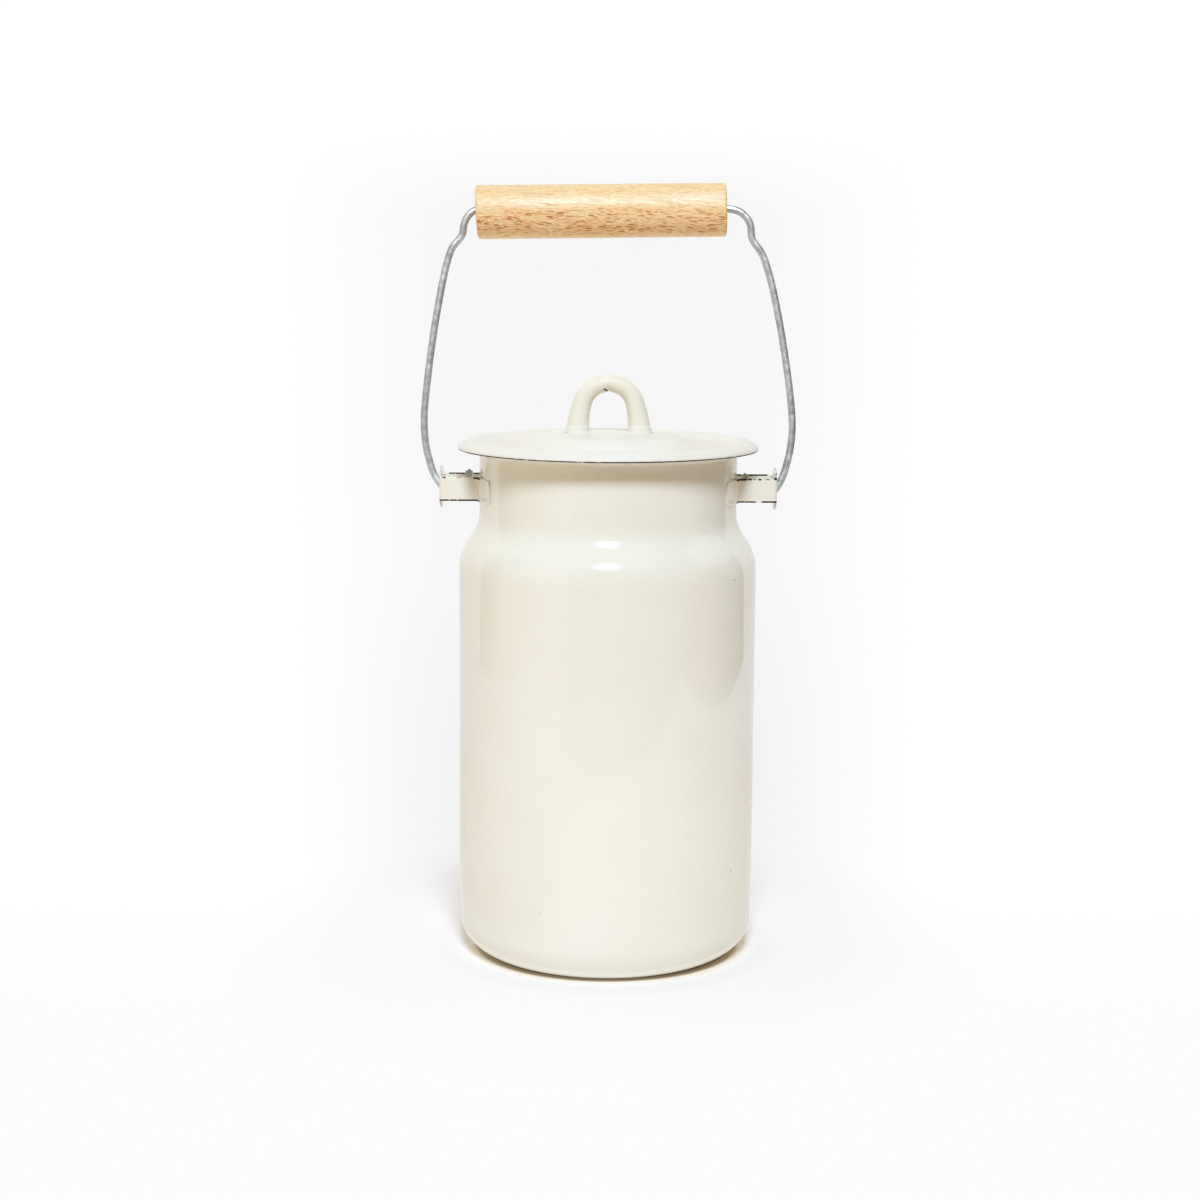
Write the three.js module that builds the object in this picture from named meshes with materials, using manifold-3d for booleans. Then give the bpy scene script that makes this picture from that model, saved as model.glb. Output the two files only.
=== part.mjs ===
// Enamelled sheet-steel milk can, about two litres, with a lift-off lid, two
// welded strap ears and a wire bail that carries a turned wooden grip.
// Units: millimetres. +Z is up, +X runs through the two ears, the origin is the
// centre of the standing ring on the surface the can stands on.

import * as THREE from "three";
import { mergeVertices } from "three/addons/utils/BufferGeometryUtils.js";
import Module from "manifold-3d";

const wasm = await Module();
wasm.setup();

// ---------------------------------------------------------------- dimensions
const SHEET = 1.2; // enamelled sheet of the can and the lid
const GAP = 0.3; // room left between welded or resting faces

// can body
const BODY_R = 60; // outside radius of the body
const CORNER_R = 13.3; // rounded bottom corner
const NECK_R = 51.7; // outside radius of the neck
const RING_OUT = BODY_R - CORNER_R - 0.1; // standing ring, outer edge of the flat
const RING_IN = 41.6; // standing ring, inner edge of the flat
const BASE_RISE = 1.6; // how far the middle of the base is pressed up
const SHOULDER = [
  // outside radius and height of the shoulder's S-curve
  [60.0, 157.5],
  [59.9, 160.7],
  [59.4, 163.1],
  [58.5, 165.6],
  [57.0, 168.0],
  [55.1, 170.4],
  [53.55, 172.9],
  [52.4, 175.3],
  [51.85, 177.8],
  [NECK_R, 181.0],
];
const BEAD_R = 1.15; // curled bead round the mouth
const BEAD_AT = [51.75, 205.5]; // its centre: radius, height
const CAN_SEGMENTS = 48;

// lid: one pressed shell with a turned-down rim, a groove and a low dome
const LID_TOP = [
  // radius and height of the upper surface, from the middle to the raw edge
  [0, 212.35],
  [16.2, 212.35],
  [18.6, 211.95],
  [24, 211.75],
  [28, 211.1],
  [31, 209.75],
  [33.5, 208.05],
  [36.3, 207.05],
  [42, 206.9],
  [47, 207.0],
  [50, 207.65],
  [52.5, 208.6],
  [55, 209.2],
  [57.3, 208.9],
  [59.3, 207.8],
  [60.35, 206.6],
  [60.4, 205.65],
];
const LID_UNDER = [
  // the same wall seen from inside, from the raw edge back to the middle
  [59.2, 205.65],
  [59.1, 206.45],
  [58.3, 207.15],
  [56.8, 207.8],
  [55, 208.0],
  [52.9, 207.45],
  [50.4, 206.45],
  [47.1, 205.8],
  [42, 205.7],
  [36, 205.85],
  [32.6, 207.2],
  [30.2, 208.75],
  [27.6, 209.9],
  [18.4, 210.75],
  [16, 211.15],
  [0, 211.15],
];

// collar welded under the lid: it plugs the neck
const COLLAR_R = 49.4; // outside radius
const COLLAR_T = 1.0;
const COLLAR_TOP = 205.4;
const COLLAR_BOTTOM = 191;
const COLLAR_FLANGE_R = 43.5; // inner edge of the flange that is welded to the groove

// lid loop: a rolled strip bent into an arch
const LOOP_PATH = [
  // half of the arch's middle line, x and z, from the foot to the crown
  [12.6, 212.65],
  [12.35, 216.5],
  [11.6, 221.5],
  [10.5, 225.4],
  [8.3, 229.0],
  [4.6, 231.6],
  [0, 232.35],
];
const LOOP_IN_PLANE = 7.2; // thickness seen from the front
const LOOP_DEPTH = 9.2; // width seen from the side
const LOOP_FOOT_H = 2.6; // flared foot
const LOOP_FOOT_SPREAD = 0.15; // share by which the foot widens

// ears
const PIVOT_Z = 190; // the bail turns about the X axis at this height
const EAR_SHEET = 0.9;
const EAR_DISC_R = 8.4; // round eye plate
const EAR_DISC_X = 67.25; // middle of the eye plate
const EAR_DISC_Z = 189.9;
const EAR_HOLE_R = 3.8;
const EAR_LEG_Y = 9.0; // middle of each leg
const EAR_STRAP_W = 9.55; // height of the strap
const EAR_FOOT_END = 23.4; // degrees round the neck from the X axis
const EAR_FOOT_START = 12.4;

// bail
const WIRE_R = 1.45;
const WIRE_LEFT = [
  // x and z of the wire's middle line, from the left hook's tip up to the grip
  [-56.1, 197.2],
  [-56.2, 195.0],
  [-56.9, 192.7],
  [-58.3, 190.3],
  [-60.5, 188.7],
  [-63.0, 188.3],
  [-65.3, 188.8],
  [-67.25, 190.4],
  [-69.15, 192.9],
  [-70.65, 195.6],
  [-72.1, 200.4],
  [-73.3, 205.3],
  [-73.9, 210.1],
  [-74.15, 216.5],
  [-73.65, 224.5],
  [-72.55, 234.2],
  [-71.3, 243.8],
  [-69.85, 253.3],
  [-68.2, 262.8],
  [-66.35, 272.3],
  [-64.9, 278.6],
  [-63.8, 282.2],
  [-62.3, 285.6],
  [-60.3, 288.1],
  [-58.7, 290.0],
  [-58.2, 291.9],
  [-58.0, 293.9],
  [-57.2, 296.2],
  [-55.7, 298.4],
  [-53.9, 299.7],
  [-52.1, 300.1],
  [-50.0, 300.22],
  [-44.0, 300.28],
  [-20.0, 300.54],
];
const WIRE_RIGHT = [
  // from the grip down to the right hook's tip
  [14.0, 300.9],
  [36.0, 301.12],
  [42.0, 301.18],
  [45.5, 301.17],
  [47.3, 301.05],
  [49.3, 300.75],
  [51.9, 299.75],
  [53.8, 298.2],
  [55.2, 296.3],
  [55.95, 294.1],
  [56.15, 291.9],
  [56.5, 289.6],
  [58.0, 287.2],
  [59.9, 284.7],
  [61.4, 281.9],
  [62.4, 279.1],
  [64.5, 272.2],
  [66.6, 263.3],
  [68.6, 253.6],
  [70.35, 243.8],
  [71.9, 234.2],
  [73.2, 224.6],
  [73.9, 216.2],
  [73.75, 210.1],
  [73.15, 205.2],
  [72.1, 200.3],
  [70.75, 195.6],
  [69.35, 192.2],
  [67.25, 189.1],
  [65.0, 187.5],
  [62.5, 186.9],
  [60.0, 187.3],
  [57.7, 189.0],
  [56.1, 191.6],
  [55.35, 194.0],
  [55.15, 196.2],
];
const WIRE_STEPS = 132;
const WIRE_SIDES = 8;

// wooden grip
const GRIP_R = 10.55;
const GRIP_LENGTH = 98.8;
const GRIP_BORE_R = 2.7;
const GRIP_AT = [-3.38, 0, 299.97];
const GRIP_TILT = 0.9; // degrees, the right end sits higher
const GRIP_EDGE = 0.9;

// ---------------------------------------------------------------- materials
const enamel = () =>
  new THREE.MeshStandardMaterial({
    color: 0xefebdf,
    roughness: 0.16,
    metalness: 0,
  });
const lidEnamel = () =>
  new THREE.MeshStandardMaterial({
    color: 0xf4f3ee,
    roughness: 0.16,
    metalness: 0,
  });
const galvanised = () =>
  new THREE.MeshStandardMaterial({
    color: 0x9aa0a3,
    roughness: 0.42,
    metalness: 1,
  });
const beech = () =>
  new THREE.MeshStandardMaterial({
    color: 0xe3bd8d,
    roughness: 0.45,
    metalness: 0,
  });

// ------------------------------------------------------------------- helpers
function toSolid(geometry) {
  const g = geometry.clone();
  g.deleteAttribute("normal");
  g.deleteAttribute("uv");
  const merged = mergeVertices(g, 1e-4);
  return new wasm.Manifold(
    new wasm.Mesh({
      numProp: 3,
      vertProperties: new Float32Array(merged.attributes.position.array),
      triVerts: new Uint32Array(merged.index.array),
    }),
  );
}

function toGeometry(solid) {
  const m = solid.getMesh();
  const pos = new Float32Array(m.numVert * 3);
  for (let i = 0; i < m.numVert; i++)
    for (let k = 0; k < 3; k++)
      pos[3 * i + k] = m.vertProperties[i * m.numProp + k];
  const g = new THREE.BufferGeometry();
  g.setAttribute("position", new THREE.BufferAttribute(pos, 3));
  g.setIndex(new THREE.BufferAttribute(new Uint32Array(m.triVerts), 1));
  g.computeVertexNormals();
  return g;
}

// A profile of [radius, height] turned about the Z axis.
function turned(profile, segments) {
  const g = new THREE.LatheGeometry(
    profile.map(([r, z]) => new THREE.Vector2(r, z)),
    segments,
  );
  return g.rotateX(Math.PI / 2);
}

function named(name, geometry, material) {
  const mesh = new THREE.Mesh(geometry, material);
  mesh.name = name;
  return mesh;
}

// The closed outline of a strip of the given thickness along a middle line.
function stripOutline(line, thickness) {
  const left = [],
    right = [];
  for (let i = 0; i < line.length; i++) {
    const a = line[Math.max(i - 1, 0)],
      b = line[Math.min(i + 1, line.length - 1)];
    const dx = b[0] - a[0],
      dy = b[1] - a[1],
      l = Math.hypot(dx, dy),
      h = thickness / 2;
    left.push(
      new THREE.Vector2(line[i][0] - (dy / l) * h, line[i][1] + (dx / l) * h),
    );
    right.push(
      new THREE.Vector2(line[i][0] + (dy / l) * h, line[i][1] - (dx / l) * h),
    );
  }
  return new THREE.Shape([...left, ...right.reverse()]);
}

function ellipseShape(a, b, sides) {
  const pts = [];
  for (let i = 0; i < sides; i++) {
    const t = ((i + 0.5) * 2 * Math.PI) / sides;
    pts.push(new THREE.Vector2(a * Math.cos(t), b * Math.sin(t)));
  }
  return new THREE.Shape(pts);
}

function swept(shape, points, steps) {
  const path = new THREE.CatmullRomCurve3(
    points.map(([x, z]) => new THREE.Vector3(x, 0, z)),
    false,
    "centripetal",
  );
  path.arcLengthDivisions = 1200;
  return new THREE.ExtrudeGeometry(shape, {
    steps,
    extrudePath: path,
    bevelEnabled: false,
  });
}

// ------------------------------------------------------------------ can body
function canBody() {
  const outer = [
    [0, BASE_RISE],
    [RING_IN - 4.6, BASE_RISE],
    [RING_IN - 1.6, BASE_RISE * 0.55],
    [RING_IN, 0],
    [RING_OUT, 0],
  ];
  for (let i = 1; i <= 6; i++) {
    const a = (i / 6) * (Math.PI / 2);
    outer.push([
      RING_OUT + (CORNER_R + 0.1) * Math.sin(a),
      CORNER_R * (1 - Math.cos(a)),
    ]);
  }
  outer.push(...SHOULDER);
  outer.push([NECK_R, BEAD_AT[1] - BEAD_R - 0.2]);
  // the bead: a small round turned out at the top of the neck
  for (const deg of [-50, -5, 40, 85, 130, 175])
    outer.push([
      BEAD_AT[0] + BEAD_R * Math.cos((deg * Math.PI) / 180),
      BEAD_AT[1] + BEAD_R * Math.sin((deg * Math.PI) / 180),
    ]);
  const inner = [
    [NECK_R - SHEET, BEAD_AT[1] - BEAD_R],
    [NECK_R - SHEET, 180.6],
    [52.4 - SHEET * 1.15, 174.4],
    [55.1 - SHEET * 1.05, 169.4],
    [58.5 - SHEET, 164.4],
    [BODY_R - SHEET, 157.5],
    [BODY_R - SHEET, CORNER_R],
  ];
  for (let i = 4; i >= 0; i--) {
    const a = (i / 5) * (Math.PI / 2);
    inner.push([
      RING_OUT + (CORNER_R + 0.1 - SHEET) * Math.sin(a),
      SHEET + (CORNER_R - SHEET) * (1 - Math.cos(a)),
    ]);
  }
  inner.push([RING_IN - 0.2, SHEET]);
  inner.push([RING_IN - 4.8, BASE_RISE + SHEET]);
  inner.push([0, BASE_RISE + SHEET]);
  return turned([...outer, ...inner], CAN_SEGMENTS);
}

// ------------------------------------------------------------------- the lid
function lidShell() {
  return turned([...LID_UNDER].reverse().concat([...LID_TOP].reverse()), 48);
}

function lidCollar() {
  const r1 = COLLAR_R,
    r0 = COLLAR_R - COLLAR_T;
  return turned(
    [
      [r0 - 0.5, COLLAR_BOTTOM],
      [r1 - 0.5, COLLAR_BOTTOM],
      [r1, COLLAR_BOTTOM + 2],
      [r1, COLLAR_TOP],
      [COLLAR_FLANGE_R, COLLAR_TOP],
      [COLLAR_FLANGE_R, COLLAR_TOP - COLLAR_T],
      [r0, COLLAR_TOP - COLLAR_T],
      [r0, COLLAR_BOTTOM + 2],
      [r0 - 0.5, COLLAR_BOTTOM],
    ],
    48,
  );
}

function lidLoop() {
  const half = LOOP_PATH;
  const path = [
    ...half.map(([x, z]) => [-x, z]),
    ...half.slice(0, -1).reverse(),
  ];
  // the section's first axis lies across the arch's plane
  const arch = toSolid(
    swept(ellipseShape(LOOP_DEPTH / 2, LOOP_IN_PLANE / 2, 12), path, 26),
  );
  // the sweep's end caps are square to the path, so the feet are cut level
  const floor = new THREE.BoxGeometry(80, 40, 20).translate(
    0,
    0,
    half[0][1] - 10,
  );
  let loop = arch.subtract(toSolid(floor));
  for (const side of [-1, 1]) {
    const h = LOOP_FOOT_H;
    const foot = new THREE.CylinderGeometry(1, 1 + LOOP_FOOT_SPREAD, h, 16);
    foot.rotateX(Math.PI / 2);
    foot.scale(LOOP_IN_PLANE / 2 + 0.25, LOOP_DEPTH / 2 + 0.25, 1);
    foot.translate(side * half[0][0], 0, half[0][1] + h / 2);
    loop = loop.add(toSolid(foot));
  }
  return toGeometry(loop);
}

// ---------------------------------------------------------------------- ears
function ear(side) {
  const rad = (d) => (d * Math.PI) / 180;
  const rf = NECK_R + GAP + EAR_SHEET / 2; // middle line of a foot
  const on = (deg) => [rf * Math.cos(rad(deg)), rf * Math.sin(rad(deg))];
  const bend = (a, c, b, n) => {
    const pts = [];
    for (let i = 0; i <= n; i++) {
      const t = i / n,
        u = 1 - t;
      pts.push([
        u * u * a[0] + 2 * u * t * c[0] + t * t * b[0],
        u * u * a[1] + 2 * u * t * c[1] + t * t * b[1],
      ]);
    }
    return pts;
  };
  const cornerX = Math.sqrt(rf * rf - EAR_LEG_Y * EAR_LEG_Y);
  const quarter = [];
  for (let d = EAR_FOOT_END; d > EAR_FOOT_START + 0.1; d -= 3.6667)
    quarter.push(on(d));
  quarter.push(
    ...bend(
      on(EAR_FOOT_START),
      [cornerX, EAR_LEG_Y],
      [cornerX + 2.3, EAR_LEG_Y],
      4,
    ),
  );
  quarter.push(
    ...bend(
      [EAR_DISC_X - 1.7, EAR_LEG_Y],
      [EAR_DISC_X, EAR_LEG_Y],
      [EAR_DISC_X, EAR_LEG_Y - 1.7],
      4,
    ),
  );
  const line = [...quarter, ...quarter.map(([x, y]) => [x, -y]).reverse()];
  const strap = new THREE.ExtrudeGeometry(stripOutline(line, EAR_SHEET), {
    depth: EAR_STRAP_W,
    steps: 1,
    bevelEnabled: false,
  }).translate(0, 0, EAR_DISC_Z - EAR_STRAP_W / 2);
  const disc = new THREE.CylinderGeometry(
    EAR_DISC_R,
    EAR_DISC_R,
    EAR_SHEET,
    32,
  )
    .rotateZ(Math.PI / 2)
    .translate(EAR_DISC_X, 0, EAR_DISC_Z);
  const hole = new THREE.CylinderGeometry(EAR_HOLE_R, EAR_HOLE_R, 6, 20)
    .rotateZ(Math.PI / 2)
    .translate(EAR_DISC_X, 0, PIVOT_Z);
  const solid = toSolid(strap).add(toSolid(disc)).subtract(toSolid(hole));
  const g = toGeometry(solid);
  // the left ear is the same pressing turned half a turn about the Z axis
  return side > 0 ? g : g.rotateZ(Math.PI);
}

// ---------------------------------------------------------------------- bail
function bailWire() {
  return swept(
    ellipseShape(WIRE_R, WIRE_R, WIRE_SIDES),
    [...WIRE_LEFT, ...WIRE_RIGHT],
    WIRE_STEPS,
  );
}

function woodGrip() {
  const h = GRIP_LENGTH / 2,
    e = GRIP_EDGE;
  const profile = [
    [GRIP_BORE_R, -h],
    [GRIP_R - e, -h],
    [GRIP_R - 0.25 * e, -h + 0.3 * e],
    [GRIP_R, -h + e],
    [GRIP_R, h - e],
    [GRIP_R - 0.25 * e, h - 0.3 * e],
    [GRIP_R - e, h],
    [GRIP_BORE_R, h],
    [GRIP_BORE_R, -h],
  ];
  return new THREE.LatheGeometry(
    profile.map(([r, y]) => new THREE.Vector2(r, y)),
    28,
  ).rotateZ(-Math.PI / 2);
}

// ------------------------------------------------------------------ assembly
const group = new THREE.Group();

group.add(named("can_body", canBody(), enamel()));
group.add(named("ear_left", ear(-1), enamel()));
group.add(named("ear_right", ear(1), enamel()));

const lid = new THREE.Group();
lid.add(named("lid_shell", lidShell(), lidEnamel()));
lid.add(named("lid_collar", lidCollar(), lidEnamel()));
lid.add(named("lid_loop", lidLoop(), lidEnamel()));
group.add(lid);

const bail = new THREE.Group();
bail.add(named("bail_wire", bailWire(), galvanised()));
const grip = named("wood_grip", woodGrip(), beech());
grip.position.set(...GRIP_AT);
grip.rotation.y = (-GRIP_TILT * Math.PI) / 180;
bail.add(grip);
group.add(bail);

export default group;
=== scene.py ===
import math

import bmesh
import bpy
from mathutils import Matrix, Vector, geometry, noise


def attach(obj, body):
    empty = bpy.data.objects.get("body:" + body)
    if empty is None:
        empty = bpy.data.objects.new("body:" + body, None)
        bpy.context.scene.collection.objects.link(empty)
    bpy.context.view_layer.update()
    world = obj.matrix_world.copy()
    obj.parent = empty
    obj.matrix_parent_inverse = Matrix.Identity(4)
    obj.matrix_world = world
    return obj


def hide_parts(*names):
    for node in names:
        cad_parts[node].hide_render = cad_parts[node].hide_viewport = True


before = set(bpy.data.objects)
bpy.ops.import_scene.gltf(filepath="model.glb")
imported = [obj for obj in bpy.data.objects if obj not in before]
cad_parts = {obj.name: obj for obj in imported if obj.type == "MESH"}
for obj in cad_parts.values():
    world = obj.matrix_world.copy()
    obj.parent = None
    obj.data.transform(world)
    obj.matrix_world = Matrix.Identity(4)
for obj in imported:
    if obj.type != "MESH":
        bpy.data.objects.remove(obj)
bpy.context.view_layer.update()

MM = 0.001

# ------------------------------------------------------------------- camera
camera_data = bpy.data.cameras.new("camera")
camera_data.sensor_fit = "HORIZONTAL"
camera_data.sensor_width = 36.0
camera_data.lens = 66.918
camera_data.clip_start = 0.02
camera_data.clip_end = 60.0
camera = bpy.data.objects.new("camera", camera_data)
bpy.context.scene.collection.objects.link(camera)
camera.matrix_world = (
    Matrix.Translation((-0.00299, -0.8973, 0.2879))
    @ Matrix.Rotation(math.pi / 2 - 0.1592, 4, "X")
    @ Matrix.Rotation(0.0061, 4, "Z")
)
bpy.context.scene.camera = camera

# --------------------------------------------------------------- dimensions
SHEET = 1.2
BODY_R = 60.25
CORNER_R = 13.5
NECK_R = 51.95
BEAD_R = 1.15
BEAD_AT = (51.75, 205.5)
SHOULDER = [
    (60.25, 155.5), (60.17, 158.5), (59.8, 161.5), (59.1, 164.0), (58.05, 166.3),
    (56.7, 168.6), (55.1, 170.95), (53.6, 173.5), (52.6, 175.7), (52.15, 177.8), (51.98, 180.0), (51.95, 182.0),
]
LID_TOP = [
    (0, 212.35), (8, 212.35), (14.5, 212.35), (16.6, 212.27), (18.6, 211.95),
    (21, 211.82), (24, 211.75), (28, 211.1), (31, 209.75), (33.5, 208.05),
    (36.3, 207.05), (42, 206.9), (47, 207.0), (50, 207.65), (52.5, 208.6),
    (55, 209.2), (57.3, 208.9), (59.3, 207.8), (60.25, 206.85), (60.4, 206.4),
]
LID_UNDER = [
    (59.2, 206.15), (59.0, 206.6), (58.3, 207.15), (56.8, 207.8), (55, 208.0),
    (52.9, 207.45), (50.4, 206.45), (47.1, 205.8), (42, 205.7), (36, 205.85),
    (32.6, 207.2), (30.2, 208.75), (27.6, 209.9), (24, 210.5), (18.4, 210.75),
    (16, 211.15), (8, 211.15), (0, 211.15),
]
RIM_EDGE = (59.8, 205.95)  # middle of the lid's raw edge

PIVOT_Z = 190.0
EAR_SHEET = 0.9
EAR_DISC_R = 8.4
EAR_DISC_X = 67.25
EAR_DISC_Z = 189.9
EAR_HOLE_R = 3.8
EAR_LEG_Y = 9.0
EAR_STRAP_W = 9.55
EAR_FOOT_START = 12.4
EAR_FOOT_END = 26.6

WIRE_R = 1.45
WIRE = [
    (-56.1, 197.2), (-56.2, 195.0), (-56.9, 192.7), (-58.3, 190.3), (-60.5, 188.7),
    (-63.0, 188.3), (-65.3, 188.8), (-67.25, 190.4), (-69.15, 192.9), (-70.65, 195.6),
    (-72.1, 200.4), (-73.3, 205.3), (-73.9, 210.1), (-74.15, 216.5), (-73.65, 224.5),
    (-72.55, 234.2), (-71.3, 243.8), (-69.85, 253.3), (-68.2, 262.8), (-66.35, 272.3),
    (-64.9, 278.6), (-63.8, 282.2), (-62.3, 285.6), (-60.3, 288.1), (-58.7, 290.0),
    (-58.2, 291.9), (-58.0, 293.9), (-57.2, 296.2), (-55.7, 298.4), (-53.9, 299.7),
    (-52.1, 300.1), (-50.0, 300.22), (-44.0, 300.28), (-20.0, 300.54),
    (14.0, 300.9), (36.0, 301.12), (42.0, 301.18), (45.5, 301.17), (47.3, 301.05),
    (49.3, 300.75), (51.9, 299.75), (53.8, 298.2), (55.2, 296.3), (55.95, 294.1),
    (56.15, 291.9), (56.5, 289.6), (58.0, 287.2), (59.9, 284.7), (61.4, 281.9),
    (62.4, 279.1), (64.5, 272.2), (66.6, 263.3), (68.6, 253.6), (70.35, 243.8),
    (71.9, 234.2), (73.2, 224.6), (73.9, 216.2), (73.75, 210.1), (73.15, 205.2),
    (72.1, 200.3), (70.75, 195.6), (69.35, 192.2), (67.25, 189.1), (65.0, 187.5),
    (62.5, 186.9), (60.0, 187.3), (57.7, 189.0), (56.1, 191.6), (55.35, 194.0),
    (55.15, 196.2),
]

GRIP_R = 10.55
GRIP_LENGTH = 98.8
GRIP_BORE_R = 2.7
GRIP_AT = (-3.38, 0.0, 299.97)
GRIP_TILT = math.radians(0.9)


# ------------------------------------------------------------ shape helpers
def catmull(points, per=8):
    """Points on a smooth curve through the given ones."""
    p = [Vector(q) for q in points]
    p = [p[0] * 2 - p[1]] + p + [p[-1] * 2 - p[-2]]
    out = []
    for i in range(1, len(p) - 2):
        p0, p1, p2, p3 = p[i - 1 : i + 3]
        d0, d1, d2 = (max((b - a).length, 1e-6) ** 0.5 for a, b in ((p0, p1), (p1, p2), (p2, p3)))
        t1 = ((p1 - p0) / d0 - (p2 - p0) / (d0 + d1) + (p2 - p1) / d1) * d1
        t2 = ((p2 - p1) / d1 - (p3 - p1) / (d1 + d2) + (p3 - p2) / d2) * d1
        for k in range(per):
            t = k / per
            out.append(
                p1 * (2 * t**3 - 3 * t**2 + 1)
                + t1 * (t**3 - 2 * t**2 + t)
                + p2 * (-2 * t**3 + 3 * t**2)
                + t2 * (t**3 - t**2)
            )
    out.append(p[-2])
    return out


def lengths(points):
    total, out = 0.0, [0.0]
    for a, b in zip(points, points[1:]):
        total += (Vector(b) - Vector(a)).length
        out.append(total)
    return out


def at_length(points, along, s):
    """The point at distance s along a polyline whose running lengths are given."""
    s = min(max(s, 0.0), along[-1])
    lo, hi = 0, len(along) - 1
    while hi - lo > 1:
        mid = (lo + hi) // 2
        if along[mid] <= s:
            lo = mid
        else:
            hi = mid
    f = (s - along[lo]) / max(along[hi] - along[lo], 1e-9)
    return Vector(points[lo]).lerp(Vector(points[hi]), f)


def evenly(points, step):
    """The same line with a point about every step."""
    along = lengths(points)
    n = max(1, round(along[-1] / step))
    return [at_length(points, along, along[-1] * i / n) for i in range(n + 1)]


def smooth_line(points, step):
    return [tuple(q) for q in evenly(catmull(points, 14), step)]


def arc(cx, cz, r, a0, a1, n):
    return [
        (cx + r * math.cos(math.radians(a0 + (a1 - a0) * i / n)),
         cz + r * math.sin(math.radians(a0 + (a1 - a0) * i / n)))
        for i in range(n + 1)
    ]


def offset_line(points, distance):
    """A line beside another, to its left."""
    out = []
    for i, q in enumerate(points):
        a, b = points[max(i - 1, 0)], points[min(i + 1, len(points) - 1)]
        dx, dz = b[0] - a[0], b[1] - a[1]
        n = math.hypot(dx, dz)
        out.append((q[0] - dz / n * distance, q[1] + dx / n * distance))
    return out


def smoothstep(a, b, x):
    t = min(max((x - a) / (b - a), 0.0), 1.0)
    return t * t * (3 - 2 * t)


def add_object(name, verts, faces, material, bare_and_shade=None, flat_normals=False):
    """A closed mesh from points in millimetres, its faces turned outwards."""
    mesh = bpy.data.meshes.new(name)
    mesh.from_pydata([(x * MM, y * MM, z * MM) for x, y, z in verts], [], faces)
    bm = bmesh.new()
    bm.from_mesh(mesh)
    bmesh.ops.recalc_face_normals(bm, faces=bm.faces)
    bm.to_mesh(mesh)
    bm.free()
    if bare_and_shade is not None:
        layer = mesh.attributes.new("bare_and_shade", "FLOAT", "POINT")
        layer.data.foreach_set("value", bare_and_shade)
    mesh.shade_smooth()
    mesh.materials.append(material)
    ob = bpy.data.objects.new(name, mesh)
    bpy.context.scene.collection.objects.link(ob)
    return ob


def turned(profile, segments, closed=False):
    """Points and faces of a wall section of (radius, height) turned about Z."""
    verts, rings, faces = [], [], []
    for r, z in profile:
        if r < 1e-6:
            rings.append([len(verts)])
            verts.append((0.0, 0.0, z))
        else:
            rings.append(list(range(len(verts), len(verts) + segments)))
            for i in range(segments):
                a = 2 * math.pi * i / segments
                verts.append((r * math.cos(a), r * math.sin(a), z))
    pairs = list(zip(rings, rings[1:]))
    if closed:
        pairs.append((rings[-1], rings[0]))
    for a, b in pairs:
        for i in range(segments):
            j = (i + 1) % segments
            if len(a) == 1:
                faces.append((a[0], b[j], b[i]))
            elif len(b) == 1:
                faces.append((a[i], a[j], b[0]))
            else:
                faces.append((a[i], a[j], b[j], b[i]))
    return verts, faces


# --------------------------------------------------------- material helpers
def tree(name):
    mat = bpy.data.materials.new(name)
    mat.use_nodes = True
    nt = mat.node_tree
    return mat, nt, nt.nodes["Principled BSDF"]


def put(nt, socket, value):
    if isinstance(value, bpy.types.NodeSocket):
        nt.links.new(value, socket)
    else:
        socket.default_value = value


def calc(nt, operation, *values, clamp=False):
    n = nt.nodes.new("ShaderNodeMath")
    n.operation = operation
    n.use_clamp = clamp
    for i, v in enumerate(values):
        put(nt, n.inputs[i], v)
    return n.outputs[0]


def vec(nt, operation, *values):
    n = nt.nodes.new("ShaderNodeVectorMath")
    n.operation = operation
    for i, v in enumerate(values):
        put(nt, n.inputs[i], v)
    return n.outputs["Value"] if operation in ("LENGTH", "DISTANCE", "DOT_PRODUCT") else n.outputs[0]


def ramp(nt, value, low, high, to_low=0.0, to_high=1.0, smooth=True):
    n = nt.nodes.new("ShaderNodeMapRange")
    n.interpolation_type = "SMOOTHSTEP" if smooth else "LINEAR"
    n.clamp = True
    for i, v in enumerate((value, low, high, to_low, to_high)):
        put(nt, n.inputs[i], v)
    return n.outputs[0]


def blend(nt, factor, a, b, kind="MIX"):
    n = nt.nodes.new("ShaderNodeMix")
    n.data_type = "RGBA"
    n.blend_type = kind
    n.clamp_factor = True
    put(nt, n.inputs[0], factor)
    put(nt, n.inputs[6], a)
    put(nt, n.inputs[7], b)
    return n.outputs[2]


def noise_tex(nt, where, scale, detail=2.0, roughness=0.5, distortion=0.0):
    n = nt.nodes.new("ShaderNodeTexNoise")
    put(nt, n.inputs["Vector"], where)
    n.inputs["Scale"].default_value = scale
    n.inputs["Detail"].default_value = detail
    n.inputs["Roughness"].default_value = roughness
    n.inputs["Distortion"].default_value = distortion
    return n.outputs["Fac"] if "Fac" in n.outputs else n.outputs[0]


def object_place(nt):
    return nt.nodes.new("ShaderNodeTexCoord").outputs["Object"]


def bump(nt, height, distance, strength=1.0, normal=None):
    n = nt.nodes.new("ShaderNodeBump")
    n.inputs["Distance"].default_value = distance
    n.inputs["Strength"].default_value = strength
    put(nt, n.inputs["Height"], height)
    if normal is not None:
        put(nt, n.inputs["Normal"], normal)
    return n.outputs[0]


def linear(r, g, b):
    """An sRGB colour given as 0 to 255, for a colour socket."""
    def one(c):
        c /= 255
        return c / 12.92 if c <= 0.04045 else ((c + 0.055) / 1.055) ** 2.4
    return (one(r), one(g), one(b), 1.0)


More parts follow.
